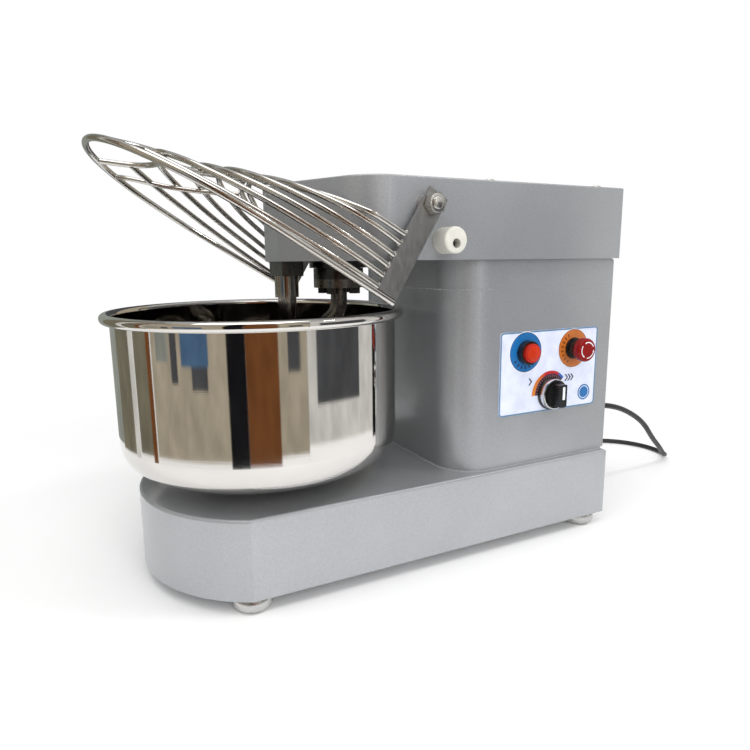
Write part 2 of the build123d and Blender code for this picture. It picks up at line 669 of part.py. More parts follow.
with BuildPart() as guard_feed_frame:
    with BuildLine() as feed_path:
        half = [on_guard(*place) for place in FEED_ROD]
        other_half = [on_guard(-x, along, up) for x, along, up in reversed(FEED_ROD[:-1])]
        Spline(*half, *other_half)
    with BuildSketch(Plane(origin=feed_path.line @ 0, z_dir=feed_path.line % 0)):
        Circle(WIRE)
    sweep()
    with BuildLine() as cross_path:
        Spline(*[on_guard(*place) for place in CROSS_ROD])
    with BuildSketch(Plane(origin=cross_path.line @ 0, z_dir=cross_path.line % 0)):
        Circle(WIRE - 0.3)
    sweep(path=cross_path.line)
    with BuildLine() as other_cross_path:
        Spline(*[on_guard(-x, along, up) for x, along, up in CROSS_ROD])
    with BuildSketch(Plane(origin=other_cross_path.line @ 0, z_dir=other_cross_path.line % 0)):
        Circle(WIRE - 0.3)
    sweep(path=other_cross_path.line)
keep(guard_feed_frame, "guard_feed_frame")

# pivots, bumpers and the switch that senses the guard
with BuildPart() as guard_pivot_bolts:
    with BuildSketch(Plane.YZ.offset(HEAD_HALF_WIDTH - 12)):
        with Locations((PIVOT_Y, PIVOT_Z)):
            Circle(PIVOT_BOLT)
    extrude(amount=32)
    with BuildSketch(Plane.YZ.offset(HEAD_HALF_WIDTH)):
        with Locations((PIVOT_Y, PIVOT_Z)):
            Circle(9)
    extrude(amount=PLATE_INNER_X - GAP - HEAD_HALF_WIDTH)
    with BuildSketch(Plane.YZ.offset(PLATE_INNER_X + PLATE_SHEET + GAP)):
        with Locations((PIVOT_Y, PIVOT_Z)):
            RegularPolygon(9.2, 6, rotation=12)
    extrude(amount=7)
    mirror(about=Plane.YZ)
keep(guard_pivot_bolts, "guard_pivot_bolts")


with BuildPart() as guard_bumpers:
    for side in (1, -1):
        with BuildSketch(Plane.YZ.offset(side * HEAD_HALF_WIDTH)):
            with Locations((BUMPER_Y, BUMPER_Z)):
                Circle(BUMPER_RADIUS)
        extrude(amount=side * BUMPER_LENGTH)
        fillet(guard_bumpers.edges().sort_by(Axis.X)[-1 if side > 0 else 0], 2.5)
        with BuildSketch(Plane.YZ.offset(side * (HEAD_HALF_WIDTH + BUMPER_SEAT))):
            with Locations((BUMPER_Y, BUMPER_HOLE_Z)):
                Circle(BUMPER_SCREW + 1)
        extrude(amount=side * BUMPER_LENGTH, mode=Mode.SUBTRACT)
        with BuildSketch(Plane.YZ.offset(side * HEAD_HALF_WIDTH)):
            with Locations((BUMPER_Y, BUMPER_HOLE_Z)):
                Circle(BUMPER_SCREW)
        extrude(amount=side * BUMPER_SEAT, mode=Mode.SUBTRACT)
keep(guard_bumpers, "guard_bumpers")

with BuildPart() as guard_limit_switch:
    with BuildSketch(Plane.XY.offset(300)):
        with Locations((HEAD_HALF_WIDTH - SHEET - 8, PIVOT_Y - 18)):
            RectangleRounded(16, 22, 2)
    extrude(amount=34)
keep(guard_limit_switch, "guard_limit_switch")

# ---------------------------------------------------------------- controls
with BuildPart() as control_panel:
    with BuildSketch(Plane.YZ.offset(COLUMN_HALF_WIDTH)):
        with Locations((sum(PANEL_Y) / 2, sum(PANEL_Z) / 2)):
            RectangleRounded(PANEL_Y[1] - PANEL_Y[0], PANEL_Z[1] - PANEL_Z[0], 4)
        with Locations(POWER_YZ, STOP_YZ, SPEED_YZ):
            Circle(PANEL_HOLE, mode=Mode.SUBTRACT)
    extrude(amount=PANEL_SHEET)
keep(control_panel, "control_panel")


def post(centre, start, end, radius, mode=Mode.ADD):
    """Cylinder along X, added to or cut from the part being built."""
    with BuildSketch(Plane.YZ.offset(start)) as profile:
        with Locations(centre):
            Circle(radius)
    extrude(profile.sketch, amount=end - start, mode=mode)


BEZEL_FRONT = 115.6
CAP_RADIUS = 9.4
STEM = 3.0
with BuildPart() as power_switch_body:
    post(POWER_YZ, PANEL_FACE - SWITCH_DEPTH, BEZEL_FRONT, PANEL_HOLE - 0.2)
    post(POWER_YZ, PANEL_FACE, BEZEL_FRONT, 11.8)
    post(POWER_YZ, 108.2, BEZEL_FRONT, CAP_RADIUS + GAP, Mode.SUBTRACT)
    post(POWER_YZ, 85, BEZEL_FRONT, STEM + RUNNING, Mode.SUBTRACT)
keep(power_switch_body, "power_switch_body")

with BuildPart() as power_button:
    post(POWER_YZ, 112, 120, CAP_RADIUS)
    fillet(power_button.edges().sort_by(Axis.X)[-1], 1.2)
    post(POWER_YZ, 90, 112, STEM)
keep(power_button, "power_button")

NECK_FRONT = 117.0
STOP_CAP_BACK = NECK_FRONT + STOP_TRAVEL + GAP
with BuildPart() as emergency_stop_body:
    post(STOP_YZ, PANEL_FACE - SWITCH_DEPTH, PANEL_FACE, PANEL_HOLE - 0.2)
    post(STOP_YZ, PANEL_FACE, PANEL_FACE + 1.5, 11.0)
    post(STOP_YZ, PANEL_FACE, NECK_FRONT, 8.6)
    post(STOP_YZ, 80, NECK_FRONT, 5 + RUNNING, Mode.SUBTRACT)
keep(emergency_stop_body, "emergency_stop_body")

with BuildPart() as emergency_stop_plunger:
    post(STOP_YZ, 86, STOP_CAP_BACK + 3, 5)
keep(emergency_stop_plunger, "emergency_stop_plunger")

with BuildPart() as emergency_stop_cap:
    post(STOP_YZ, STOP_CAP_BACK, STOP_CAP_BACK + 7.5, 12)
    fillet(emergency_stop_cap.edges().sort_by(Axis.X)[-1], 3)
    post(STOP_YZ, STOP_CAP_BACK, STOP_CAP_BACK + 3 + GAP, 5 + RUNNING, Mode.SUBTRACT)
keep(emergency_stop_cap, "emergency_stop_cap")

with BuildPart() as speed_potentiometer:
    post(SPEED_YZ, PANEL_FACE - 30, PANEL_FACE, PANEL_HOLE - 0.2)
    post(SPEED_YZ, PANEL_FACE, PANEL_FACE + 2.2, 15.2)
    post(SPEED_YZ, PANEL_FACE, PANEL_FACE + 7.4, 14.5)
    post(SPEED_YZ, PANEL_FACE + 2.2, PANEL_FACE + 7.4, 12 + GAP, Mode.SUBTRACT)
    post(SPEED_YZ, PANEL_FACE - 20, PANEL_FACE + 2.2, STEM + RUNNING, Mode.SUBTRACT)
keep(speed_potentiometer, "speed_potentiometer")

with BuildPart() as speed_knob:
    post(SPEED_YZ, PANEL_FACE + 2.2 + GAP, PANEL_FACE + 9, 12)
    post(SPEED_YZ, PANEL_FACE - 17, PANEL_FACE + 2.2 + GAP, STEM)
    with BuildSketch(Plane.YZ.offset(PANEL_FACE + 9)):
        with Locations(SPEED_YZ):
            Circle(12)
            with Locations((11, 0), (-11, 0)):
                Rectangle(12, 26, mode=Mode.SUBTRACT)
    extrude(amount=10)
    chamfer(speed_knob.faces().sort_by(Axis.X)[-1].edges(), 0.8)
keep(speed_knob, "speed_knob")

with BuildPart() as speed_controller:
    with BuildSketch(Plane.YZ.offset(-COLUMN_HALF_WIDTH + SHEET)):
        with Locations((165, 170)):
            RectangleRounded(110, 120, 4)
    extrude(amount=38)
keep(speed_controller, "speed_controller")

# ---------------------------------------------------------------- mains lead
with BuildPart() as strain_relief:
    with BuildSketch(Plane.XZ.offset(-(COLUMN_REAR - 4))):
        with Locations((LEAD_X, LEAD_Z)):
            Circle(LEAD_HOLE)
            Circle(CORD, mode=Mode.SUBTRACT)
    extrude(amount=-(HEAD_REAR - COLUMN_REAR + 4))
    with BuildSketch(Plane.XZ.offset(-HEAD_REAR)):
        with Locations((LEAD_X, LEAD_Z)):
            RegularPolygon(11, 6)
            Circle(CORD, mode=Mode.SUBTRACT)
    extrude(amount=-6)
    with BuildSketch(Plane.XZ.offset(-HEAD_REAR - 6)):
        with Locations((LEAD_X, LEAD_Z)):
            Circle(7)
    with BuildSketch(Plane.XZ.offset(-RELIEF_END)):
        with Locations((LEAD_X, LEAD_Z)):
            Circle(CORD + 1)
    loft()
    with BuildSketch(Plane.XZ.offset(-HEAD_REAR - 6)):
        with Locations((LEAD_X, LEAD_Z)):
            Circle(CORD)
    extrude(amount=-(RELIEF_END - HEAD_REAR - 6), mode=Mode.SUBTRACT)
keep(strain_relief, "strain_relief")

ON_FLOOR = FLOOR + CORD
COIL_SIDE = COIL_MEAN_RADIUS + CORD
LEAD_ROUTE = [
    (LEAD_X, COLUMN_REAR - 4, LEAD_Z), (LEAD_X - 0.5, RELIEF_END, LEAD_Z - 0.5),
    (55, 324, 111), (48, 361, 96), (41, 394, 77), (31, 425, 50), (20, 455, 30), (8, 482, 10.5),
    (-8, 507, ON_FLOOR), (-44, 514, ON_FLOOR), (-80, 502, ON_FLOOR), (-106, 474, ON_FLOOR),
    (-118, 438, ON_FLOOR), (-119, 399, ON_FLOOR), (-115.5, 350, ON_FLOOR),
    (COIL_CENTRE[0] - COIL_SIDE, COIL_CENTRE[1], ON_FLOOR),
]
lead_points = [Vector(*place) for place in LEAD_ROUTE]
lead_radii = arc_radii(lead_points)
print("lead arc radii", [round(radius, 1) for radius in lead_radii])

with BuildPart() as power_cord:
    with BuildLine() as lead_path:
        FilletPolyline(*lead_points, radius=lead_radii)
    with BuildSketch(Plane(origin=lead_path.line @ 0, z_dir=lead_path.line % 0)):
        Circle(CORD)
    sweep()
lead_length = sum(edge.length for edge in lead_path.edges())
print("lead length", round(lead_length, 1), "volume over section times length",
      round(power_cord.part.volume / (pi * CORD ** 2 * lead_length), 4))
keep(power_cord, "power_cord")

with BuildPart() as cord_coil:
    ring(*COIL_CENTRE, FLOOR, FLOOR + 4 * CORD, COIL_MEAN_RADIUS - 2 * CORD, COIL_MEAN_RADIUS + 2 * CORD)
keep(cord_coil, "cord_coil")

# plug with two round pins, lying beside the coil
PLUG_X = COIL_CENTRE[0] + COIL_SIDE
PLUG_Z = 13.0
with BuildPart() as plug:
    with BuildSketch(Plane.XZ.offset(-(COIL_CENTRE[1] + 9))):
        with Locations((PLUG_X, 3 * CORD + FLOOR)):
            Circle(CORD)
    with BuildSketch(Plane.XZ.offset(-(COIL_CENTRE[1] + 34))):
        with Locations((PLUG_X, PLUG_Z)):
            Circle(8)
    loft()
    with BuildSketch(Plane.XZ.offset(-(COIL_CENTRE[1] + 34))):
        with Locations((PLUG_X, PLUG_Z)):
            RectangleRounded(34, 2 * PLUG_Z - 0.1, 8)
    extrude(amount=-32)
    with BuildSketch(Plane.XZ.offset(-(COIL_CENTRE[1] + 66))):
        with Locations((PLUG_X - 9.5, PLUG_Z), (PLUG_X + 9.5, PLUG_Z)):
            Circle(2.4)
    extrude(amount=-19)
keep(plug, "plug")
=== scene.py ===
"""Looks of a bench-top spiral dough mixer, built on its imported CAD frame.

Pieces are laid out in millimetres and made in metres with MM; the camera, lights and cards are in metres.
"""
import math
import random

import bmesh
import bpy
from mathutils import Matrix, Vector


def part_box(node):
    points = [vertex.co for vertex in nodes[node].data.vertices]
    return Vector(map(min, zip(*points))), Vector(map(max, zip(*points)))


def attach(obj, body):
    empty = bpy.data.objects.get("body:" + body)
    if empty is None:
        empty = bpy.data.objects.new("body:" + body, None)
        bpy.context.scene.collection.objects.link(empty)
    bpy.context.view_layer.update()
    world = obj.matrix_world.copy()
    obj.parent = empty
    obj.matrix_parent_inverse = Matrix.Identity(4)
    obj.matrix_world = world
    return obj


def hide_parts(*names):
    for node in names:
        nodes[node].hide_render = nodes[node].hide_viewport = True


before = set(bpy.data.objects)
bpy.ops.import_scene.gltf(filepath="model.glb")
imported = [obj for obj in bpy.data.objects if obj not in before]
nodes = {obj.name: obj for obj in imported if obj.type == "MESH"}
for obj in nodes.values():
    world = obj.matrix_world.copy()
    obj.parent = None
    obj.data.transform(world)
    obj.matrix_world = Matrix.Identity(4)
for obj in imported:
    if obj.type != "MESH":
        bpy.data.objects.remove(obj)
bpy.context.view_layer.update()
MM = 0.001

# ---------------------------------------------------------------- camera
YAW, PITCH, ROLL = math.radians(63.2), math.radians(10.7), math.radians(-0.55)
forward = Vector((-math.sin(YAW) * math.cos(PITCH), math.cos(YAW) * math.cos(PITCH), -math.sin(PITCH)))
level_right = Vector((math.cos(YAW), math.sin(YAW), 0))
right = level_right * math.cos(ROLL) + level_right.cross(forward) * math.sin(ROLL)
up = right.cross(forward)
camera_data = bpy.data.cameras.new("camera")
camera_data.lens = 29.18          # mm, on a sensor 36 mm wide
camera_data.sensor_width = 36
camera_data.clip_start = 0.01
camera_data.clip_end = 60
camera = bpy.data.objects.new("camera", camera_data)
bpy.context.collection.objects.link(camera)
CAMERA_PLACE = (0.5719, -0.2696, 0.2911)
turn = Matrix((right, up, -forward)).transposed().to_4x4()
camera.matrix_world = Matrix.Translation(CAMERA_PLACE) @ turn
bpy.context.scene.camera = camera
bpy.context.scene.view_settings.view_transform = "Standard"

# ---------------------------------------------------------------- mains lead
CORD_DIAMETER = 6.5
ON_FLOOR = 3.3                    # the lead's middle when it lies on the floor
LEAD_ROUTE = [
    (60, 238.5, 119), (59.5, 286, 118.5), (55, 324, 111), (48, 361, 96), (41, 394, 77),
    (31, 425, 50), (20, 455, 30), (8, 482, 10.5), (-8, 507, ON_FLOOR), (-44, 514, ON_FLOOR),
    (-80, 502, ON_FLOOR), (-106, 474, ON_FLOOR), (-118, 438, ON_FLOOR), (-119, 399, ON_FLOOR),
    (-115.5, 350, ON_FLOOR),
]
COIL_X, COIL_Y = -75.0, 300.0
OUTER_TURN, INNER_TURN = 39.25, 32.75
UPPER_LAYER = 9.8
POINTS_PER_TURN = 24
TURNS = 3.5


def ramp(value, start, end):
    """0 before start, 1 after end, smooth between."""
    share = min(1, max(0, (value - start) / (end - start)))
    return share * share * (3 - 2 * share)


def coil_points():
    """Two turns on the floor, the outer first, then one and a half on top of them."""
    points = []
    for step in range(int(TURNS * POINTS_PER_TURN) + 1):
        done = step / POINTS_PER_TURN
        inward = ramp(done, 0.833, 1.0) - ramp(done, 2.583, 2.75)
        radius = OUTER_TURN + (INNER_TURN - OUTER_TURN) * inward
        height = ON_FLOOR + (UPPER_LAYER - ON_FLOOR) * ramp(done, 1.75, 1.917)
        angle = math.pi + 2 * math.pi * done
        points.append((COIL_X + radius * math.cos(angle), COIL_Y + radius * math.sin(angle), height))
    return points


def tube(name, points, radius):
    """Round lead along a smooth NURBS line shaped by the given points (mm)."""
    data = bpy.data.curves.new(name, "CURVE")
    data.dimensions = "3D"
    spline = data.splines.new("NURBS")
    spline.points.add(len(points) - 1)
    for point, place in zip(spline.points, points):
        point.co = (place[0] * MM, place[1] * MM, place[2] * MM, 1)
        point.radius = radius * MM
    spline.order_u = 3
    spline.use_endpoint_u = True
    spline.resolution_u = 8
    data.bevel_depth = 1.0
    data.bevel_resolution = 6
    data.use_fill_caps = True
    piece = bpy.data.objects.new(name, data)
    bpy.context.collection.objects.link(piece)
    return piece


LEAD_END = (COIL_X + OUTER_TURN, 312, UPPER_LAYER + 0.2)
lead = tube("mains_lead", LEAD_ROUTE + coil_points() + [LEAD_END], CORD_DIAMETER / 2)
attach(lead, "frame")
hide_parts("power_cord", "cord_coil")


# ---------------------------------------------------------------- materials
class Shader:
    """A node material with a Principled shader and object coordinates to hand."""

    def __init__(self, name, color, metallic=0.0, roughness=0.5, coat=0.0, coat_roughness=0.1):
        self.material = bpy.data.materials.new(name)
        self.material.use_nodes = True
        self.tree = self.material.node_tree
        self.shader = self.tree.nodes["Principled BSDF"]
        self.set("Base Color", (*color, 1))
        self.set("Metallic", metallic)
        self.set("Roughness", roughness)
        self.set("Coat Weight", coat)
        self.set("Coat Roughness", coat_roughness)
        self.place = self.add("ShaderNodeTexCoord").outputs["Object"]

    def add(self, kind, **values):
        node = self.tree.nodes.new(kind)
        for key, value in values.items():
            setattr(node, key, value)
        return node

    def set(self, socket, value):
        self.shader.inputs[socket].default_value = value

    def link(self, source, target):
        self.tree.links.new(source, target)

    def stretched(self, scale):
        node = self.add("ShaderNodeMapping")
        node.inputs["Scale"].default_value = scale
        self.link(self.place, node.inputs["Vector"])
        return node.outputs["Vector"]

    def noise(self, scale, detail=2.0, roughness=0.5, place=None):
        node = self.add("ShaderNodeTexNoise")
        node.inputs["Scale"].default_value = scale
        node.inputs["Detail"].default_value = detail
        node.inputs["Roughness"].default_value = roughness
        self.link(place or self.place, node.inputs["Vector"])
        return node.outputs["Fac"]

    def cells(self, scale):
        node = self.add("ShaderNodeTexVoronoi")
        node.inputs["Scale"].default_value = scale
        self.link(self.place, node.inputs["Vector"])
        return node

    def spread(self, source, low, high, start=0.0, end=1.0):
        node = self.add("ShaderNodeMapRange")
        node.inputs["From Min"].default_value = start
        node.inputs["From Max"].default_value = end
        node.inputs["To Min"].default_value = low
        node.inputs["To Max"].default_value = high
        self.link(source, node.inputs["Value"])
        return node.outputs["Result"]

    def tint(self, source, stops):
        node = self.add("ShaderNodeValToRGB")
        band = node.color_ramp
        while len(band.elements) < len(stops):
            band.elements.new(0.5)
        for element, (place, color) in zip(band.elements, stops):
            element.position = place
            element.color = (*color, 1)
        self.link(source, node.inputs["Fac"])
        self.link(node.outputs["Color"], self.shader.inputs["Base Color"])
        return node.outputs["Color"]

    def rough(self, source, low, high):
        self.link(self.spread(source, low, high, 0.3, 0.7), self.shader.inputs["Roughness"])

    def bump(self, source, distance, strength=1.0, after=None):
        node = self.add("ShaderNodeBump")
        node.inputs["Distance"].default_value = distance
        node.inputs["Strength"].default_value = strength
        self.link(source, node.inputs["Height"])
        if after:
            self.link(after, node.inputs["Normal"])
        self.link(node.outputs["Normal"], self.shader.inputs["Normal"])
        return node.outputs["Normal"]


def shade(color, factor):
    return tuple(min(1, part * factor) for part in color)


def hammered_paint(name, color):
    """Silver-grey metallic coating: fine flake, orange peel and slow colour drift."""
    s = Shader(name, color, metallic=0.45, roughness=0.38, coat=0.5, coat_roughness=0.10)
    flake = s.cells(1500)
    drift = s.noise(9, 4)
    speckle = s.noise(900, 3, 0.7)
    mix = s.add("ShaderNodeMix", data_type="FLOAT")
    mix.inputs["Factor"].default_value = 0.3
    s.link(speckle, mix.inputs["A"])
    s.link(drift, mix.inputs["B"])
    s.tint(mix.outputs["Result"], [(0.30, shade(color, 0.82)), (0.5, color), (0.68, shade(color, 1.16))])
    s.rough(speckle, 0.32, 0.44)
    fine = s.bump(flake.outputs["Distance"], 0.00006, 0.35)
    s.bump(s.noise(210, 2), 0.00025, 0.30, fine)
    return s.material


def polished(name, color=(0.80, 0.785, 0.76), low=0.03, high=0.09, ring=False):
    """Polished stainless steel with faint haze; ring adds the marks of spinning and buffing."""
    s = Shader(name, color, metallic=1.0, roughness=0.05)
    haze = s.noise(26, 5, 0.6)
    s.tint(haze, [(0.3, shade(color, 0.93)), (0.7, color)])
    s.rough(haze, low, high)
    if ring:
        marks = s.noise(60, 3, 0.7, s.stretched((0.25, 0.25, 28)))
        slow = s.bump(s.noise(7, 1, 0.4), 0.0014, 0.16)
        s.bump(marks, 0.00002, 0.30, slow)
    return s.material


def brushed(name, color, low=0.24, high=0.42, along=(1, 40, 40), relief=0.00002):
    """Satin metal with fine grain drawn along one direction."""
    s = Shader(name, color, metallic=1.0, roughness=0.3)
    grain = s.noise(45, 4, 0.7, s.stretched(along))
    blotch = s.noise(38, 4, 0.6)
    s.tint(blotch, [(0.3, shade(color, 0.84)), (0.72, shade(color, 1.06))])
    s.rough(grain, low, high)
    s.bump(grain, relief, 0.2)
    return s.material


def oiled_iron(name, color):
    """Dark machined steel with an oily sheen and patches."""
    s = Shader(name, color, metallic=0.9, roughness=0.32)
    patch = s.noise(70, 5, 0.65)
    s.tint(patch, [(0.3, shade(color, 0.55)), (0.6, color), (0.8, shade(color, 1.7))])
    s.rough(patch, 0.18, 0.45)
    s.bump(s.noise(420, 3), 0.0001, 0.4)
    return s.material


def moulded(name, color, low=0.25, high=0.42, grain=700, depth=0.00004, coat=0.0, specular=0.5):
    """Moulded plastic or rubber: slight mottling, fine surface grain."""
    s = Shader(name, color, roughness=0.35, coat=coat)
    s.set("Specular IOR Level", specular)
    mottle = s.noise(60, 3)
    s.tint(mottle, [(0.3, shade(color, 0.88)), (0.7, shade(color, 1.08))])
    s.rough(mottle, low, high)
    s.bump(s.noise(grain, 2), depth, 0.5)
    return s.material


def turned_aluminium(name, color):
    """Lathe-turned aluminium."""
    s = Shader(name, color, metallic=1.0, roughness=0.28)
    grain = s.noise(90, 3, 0.7, s.stretched((1, 1, 30)))
    s.tint(grain, [(0.3, shade(color, 0.82)), (0.7, color)])
    s.rough(grain, 0.22, 0.38)
    s.bump(grain, 0.00005, 0.3)
    return s.material


paint = hammered_paint("silver_grey_coating", (0.345, 0.356, 0.372))
# the beads carry the column's grey coating; this lighter copy is a painted highlight for the bright line
# along them
bead_paint_highlight = hammered_paint("bead_coating_painted_highlight", (0.52, 0.53, 0.545))
# same coating as the column, made lighter: painted light for the brighter lit sides of the base
lit_base_paint = hammered_paint("silver_grey_coating_base_painted_light", (0.400, 0.413, 0.430))
bowl_steel = polished("bowl_mirror_steel", (0.74, 0.72, 0.69), 0.03, 0.07, ring=True)
wire_steel = polished("polished_wire", (0.66, 0.64, 0.61), 0.10, 0.20)
plate_steel = brushed("satin_side_plate", (0.46, 0.455, 0.445), 0.28, 0.40, (1, 12, 3), 0.000004)
bolt_steel = brushed("zinc_bolt", (0.62, 0.605, 0.575), 0.20, 0.36, (20, 20, 20))
hook_steel = oiled_iron("ground_tool_steel", (0.24, 0.225, 0.20))
dark_iron = oiled_iron("oiled_iron", (0.085, 0.080, 0.074))
bright_bar = polished("breaker_bar_steel", (0.36, 0.335, 0.30), 0.08, 0.18)
bearing = brushed("ground_ring", (0.62, 0.62, 0.62), 0.15, 0.25, (4, 4, 60))
aluminium = turned_aluminium("turned_aluminium", (0.75, 0.75, 0.76))
belt = moulded("belt_rubber", (0.022, 0.022, 0.023), 0.55, 0.75, 300, 0.00012)
motor_coat = hammered_paint("motor_coating", (0.05, 0.06, 0.075))
weld = oiled_iron("weld_bead_steel", (0.66, 0.65, 0.62))
nylon = moulded("ivory_nylon", (0.66, 0.645, 0.58), 0.32, 0.48, 260, 0.00006)
panel_film = moulded("panel_film", (0.70, 0.74, 0.90), 0.28, 0.36, 900, 0.00001, 0.3)
black = moulded("black_plastic", (0.012, 0.012, 0.013), 0.20, 0.34, 500, 0.00002)
red_orange = moulded("signal_red_orange", (0.45, 0.018, 0.008), 0.26, 0.36, 400, 0.00001, 0.0, 0.2)
red = moulded("signal_red", (0.24, 0.004, 0.004), 0.24, 0.34, 400, 0.00001, 0.0, 0.2)
lens = moulded("signal_lens", (0.52, 0.030, 0.006), 0.24, 0.34, 400, 0.00001, 0.0, 0.2)
dark_red = moulded("signal_dark_red", (0.24, 0.006, 0.008), 0.25, 0.35, 400, 0.00001)
cord_rubber = moulded("lead_rubber", (0.013, 0.013, 0.014), 0.34, 0.5, 900, 0.00002)
foot_metal = brushed("foot_cap_metal", (0.60, 0.60, 0.59), 0.18, 0.34, (3, 3, 40))
bezel_chrome = polished("bezel_chrome", (0.66, 0.66, 0.66), 0.05, 0.12)

lead.data.materials.append(cord_rubber)

MATERIAL_OF = {
    paint: "column_shell head_shell head_lid rear_cover",
    lit_base_paint: "base_housing base_bottom_plate",
    bowl_steel: "bowl_shell",
    wire_steel: "guard_outer_ring guard_wire_2 guard_wire_3 guard_wire_4 guard_wire_5 guard_wire_6 "
                "guard_wire_7 guard_feed_frame",
    plate_steel: "guard_plate_left guard_plate_right motor_bracket",
    bolt_steel: "guard_pivot_bolts head_screws motor_shaft countershaft",
    hook_steel: "spiral_hook bowl_hub",
    dark_iron: "bowl_bearing_housing hook_bearing_housing countershaft_bearings hook_flange_bolts "
               "breaker_block hook_spindle",
    bright_bar: "breaker_bar",
    bearing: "bowl_bearings hook_bearings",
    aluminium: "bowl_pulley hook_pulley motor_pulley countershaft_step_pulley",
    belt: "motor_belt hook_belt bowl_belt",
    motor_coat: "motor_body",
    nylon: "guard_bumpers",
    panel_film: "control_panel",
    black: "guard_limit_switch power_switch_body emergency_stop_body speed_potentiometer "
           "speed_controller speed_knob emergency_stop_plunger",
    red_orange: "power_button",
    red: "emergency_stop_cap",
    cord_rubber: "strain_relief plug",
    foot_metal: "foot_front_left foot_front_right foot_rear_left foot_rear_right",
}
for material, names in MATERIAL_OF.items():
    for name in names.split():
        slots = nodes[name].data.materials
        slots.clear()
        slots.append(material)


# ---------------------------------------------------------------- mesh helpers
def solid(name, mesh, material, body, smooth=True):
    """Makes an object of a bmesh and ties it to a body and a material slot."""
    bmesh.ops.recalc_face_normals(mesh, faces=mesh.faces)
    data = bpy.data.meshes.new(name)
    mesh.to_mesh(data)
    mesh.free()
    data.materials.append(material)
    if smooth:
        data.shade_smooth()
        data.set_sharp_from_angle(angle=math.radians(40))
    piece = bpy.data.objects.new(name, data)
    bpy.context.collection.objects.link(piece)
    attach(piece, body)
    return piece


def circle(y, z, radius, count=64, start=0.0, end=360.0):
    """Points (y, z) on an arc, degrees counted from +Y towards +Z."""
    whole = abs(end - start) >= 360
    steps = count if whole else count - 1
    angles = [math.radians(start + (end - start) * i / steps) for i in range(count)]
    return [(y + radius * math.cos(a), z + radius * math.sin(a)) for a in angles]


def rounded_box(y_range, z_range, radius, count=8):
    """Outline of a rectangle with round corners."""
    (y0, y1), (z0, z1) = y_range, z_range
    corners = [(y1 - radius, z1 - radius, 0), (y0 + radius, z1 - radius, 90),
               (y0 + radius, z0 + radius, 180), (y1 - radius, z0 + radius, 270)]
    return [p for y, z, a in corners for p in circle(y, z, radius, count, a, a + 90)]


def add_band(mesh, inner, outer, x0, x1, closed=True):
    """Solid strip between two outlines with the same number of points, from x0 to x1 (mm)."""
    rows = []
    for loop, x in ((inner, x0), (inner, x1), (outer, x1), (outer, x0)):
        rows.append([mesh.verts.new((x * MM, y * MM, z * MM)) for y, z in loop])
    count = len(inner)
    for i in range(count if closed else count - 1):
        j = (i + 1) % count
        for k in range(4):
            a, b = rows[k], rows[(k + 1) % 4]
            mesh.faces.new((a[i], a[j], b[j], b[i]))
    if not closed:
        for i in (0, count - 1):
            mesh.faces.new([row[i] for row in rows])


def add_slab(mesh, outline, x0, x1):
    """Solid slab of an outline from x0 to x1 (mm)."""
    low = [mesh.verts.new((x0 * MM, y * MM, z * MM)) for y, z in outline]
    high = [mesh.verts.new((x1 * MM, y * MM, z * MM)) for y, z in outline]
    mesh.faces.new(low)
    mesh.faces.new(high)
    for i in range(len(outline)):
        j = (i + 1) % len(outline)
        mesh.faces.new((low[i], low[j], high[j], high[i]))


def print_shape(name, x0, x1, material, bands=(), slabs=(), body="frame"):
    """Flat printed or inlaid shape made of bands and slabs."""
    mesh = bmesh.new()
    for inner, outer, closed in bands:
        add_band(mesh, inner, outer, x0, x1, closed)
    for outline in slabs:
        add_slab(mesh, outline, x0, x1)
    return solid(name, mesh, material, body, smooth=False)


def turned_piece(name, centre, outline, material, body, count=72):
    """Piece turned about X through centre (y, z) from a closed (radius, x) outline (mm)."""
    mesh = bmesh.new()
    rings = []
    for radius, x in outline:
        rings.append([mesh.verts.new((x * MM, y * MM, z * MM)) for y, z in circle(*centre, radius, count)])
    for a, b in zip(rings, rings[1:] + rings[:1]):
        for i in range(count):
            j = (i + 1) % count
            mesh.faces.new((a[i], a[j], b[j], b[i]))
    solid(name, mesh, material, body)


def ink(name, color):
    """Printing ink: nearly flat, with a thin clear coat."""
    return moulded("ink_" + name, color, 0.28, 0.40, 900, 0.00001, 0.2)


# ---------------------------------------------------------------- control panel print
PANEL_X = 109.2
FILM = 0.12
PANEL_Y = (99.8, 227.0)
PANEL_Z = (137.4, 221.0)
POWER = (131.2, 200.3)
STOP = (193.8, 199.9)
SPEED = (165.5, 155.5)
DISC_FACE = PANEL_X + FILM + 0.03     # the discs lie over the printed border
blue_ink = ink("blue", (0.006, 0.14, 0.40))
steel_blue_ink = ink("steel_blue", (0.10, 0.22, 0.36))
orange_ink = ink("orange", (0.56, 0.15, 0.018))
brown_ink = ink("brown", (0.16, 0.045, 0.015))
white_ink = ink("white", (0.80, 0.82, 0.88))
navy_ink = ink("navy", (0.010, 0.018, 0.060))


def ring_band(centre, inner, outer, count=72):
    return circle(*centre, inner, count), circle(*centre, outer, count), True


def arc_band(centre, inner, outer, start, end, count=40):
    return (circle(*centre, inner, count, start, end), circle(*centre, outer, count, start, end), False)


